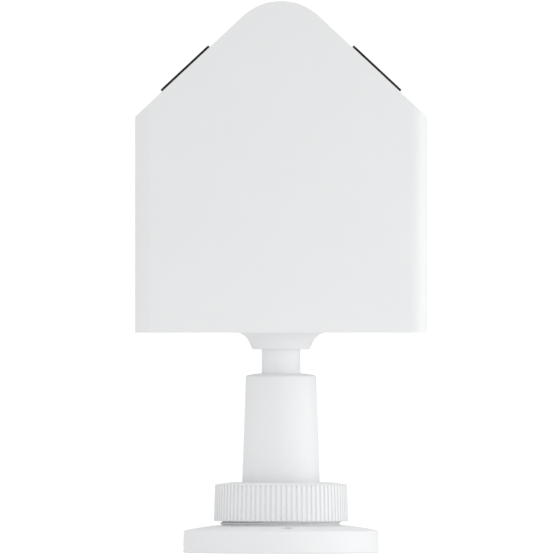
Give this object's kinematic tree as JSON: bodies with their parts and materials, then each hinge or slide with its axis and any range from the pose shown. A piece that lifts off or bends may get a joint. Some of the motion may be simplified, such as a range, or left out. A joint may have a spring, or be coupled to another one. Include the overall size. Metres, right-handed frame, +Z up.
{
  "type": "yagi antenna",
  "caption": "White pitched-roof radome over a short upright yagi, turning on a tapered post with a ball joint, knurled locking ring and round screw-down base.",
  "frame": {"origin": "centre of the base's underside, on the stand's axis, where the antenna stands", "axes": "+Z up along the stand and the yagi's boom, +X along the wide side of the radome, -Y towards the front"},
  "size_m": [0.1456, 0.098, 0.2755],
  "materials": {
    "radome_white": "fine satin texture",
    "cover_white": "fine satin texture",
    "base_white": "fine satin texture",
    "ring_white": "satin, crisp vertical grooves",
    "post_white": "satin",
    "window_black": "smoked, polished",
    "seal_black": "matt foam",
    "gasket_grey": "closed-cell foam",
    "acetal_white": "self-lubricating, smooth",
    "acetal_black": "smooth",
    "spring_steel": "bright",
    "stainless": "plain",
    "aluminium_mill": "mill finish",
    "moulding_grey": "glass-filled nylon",
    "cushion_foam": "soft open-cell foam",
    "board_green": "solder mask",
    "lamp_white": "clear lens over phosphor",
    "can_tin": "tinned",
    "coax_copper": "bright copper",
    "jack_nickel": "nickel plate",
    "bead_white": "fluoropolymer",
    "pin_gold": "gold plate"
  },
  "bodies": {
    "base": {"base_plate": "base_white", "base_gasket": "gasket_grey"},
    "ball_seat": {"ball_seat": "acetal_black"},
    "slip_ring": {"slip_ring": "acetal_black"},
    "locking_ring": {"locking_ring": "ring_white"},
    "post": {"ball": "post_white", "post": "post_white", "post_screws": "stainless", "post_cap": "post_white", "thrust_pad": "acetal_white", "thrust_washer": "stainless", "spring_washer": "spring_steel"},
    "antenna": {"neck_spindle": "post_white", "spindle_washer": "stainless", "spindle_nut": "stainless", "bottom_cover": "cover_white", "cover_gasket": "gasket_grey", "cover_screws": "stainless", "radome": "radome_white", "window_left": "window_black", "window_right": "window_black", "window_seal_left": "seal_black", "window_seal_right": "seal_black", "indicator_board_left": "board_green", "indicator_board_right": "board_green", "indicator_lamps_left": "lamp_white", "indicator_lamps_right": "lamp_white", "indicator_screws_left": "stainless", "indicator_screws_right": "stainless", "boom_foot": "moulding_grey", "foot_screws": "stainless", "boom": "aluminium_mill", "boom_pin": "stainless", "boom_cushion": "cushion_foam", "reflector": "aluminium_mill", "reflector_screws": "stainless", "director_1": "aluminium_mill", "director_2": "aluminium_mill", "director_3": "aluminium_mill", "director_clamp_1": "moulding_grey", "director_clamp_2": "moulding_grey", "director_clamp_3": "moulding_grey", "clamp_screws": "stainless", "driven_element": "aluminium_mill", "feed_box": "moulding_grey", "feed_box_lid": "moulding_grey", "feed_screws": "stainless", "balun_board": "board_green", "amplifier_board": "board_green", "shield_can": "can_tin", "amplifier_screws": "stainless", "feed_coax": "coax_copper", "jack_lead": "coax_copper", "rf_jack": "jack_nickel", "jack_bead": "bead_white", "jack_pin": "pin_gold", "jack_washer": "stainless", "jack_nut": "jack_nickel"}
  },
  "joints": [
    {"name": "slip_ring_rise", "type": "slide", "parent": "base", "child": "slip_ring", "axis": [0, 0, 1], "range_m": [0, 0.0027]},
    {"name": "locking_ring_turn", "type": "hinge", "parent": "slip_ring", "child": "locking_ring", "pos_m": [0, 0, 0.0159], "axis": [0, 0, 1], "range_deg": [0, 360]},
    {"name": "base_pan", "type": "hinge", "parent": "base", "child": "ball_seat", "pos_m": [0, 0, 0.018], "axis": [0, 0, 1], "continuous": true},
    {"name": "ball_tilt", "type": "hinge", "parent": "ball_seat", "child": "post", "pos_m": [0, 0, 0.018], "axis": [1, 0, 0], "range_deg": [-12, 12]},
    {"name": "neck_swivel", "type": "hinge", "parent": "post", "child": "antenna", "pos_m": [0, 0, 0.0958], "axis": [0, 0, 1], "continuous": true}
  ],
  "couplings": [
    {"joint": "locking_ring_turn", "follows": "slip_ring_rise", "rad_per_m": 2327.1}
  ]
}
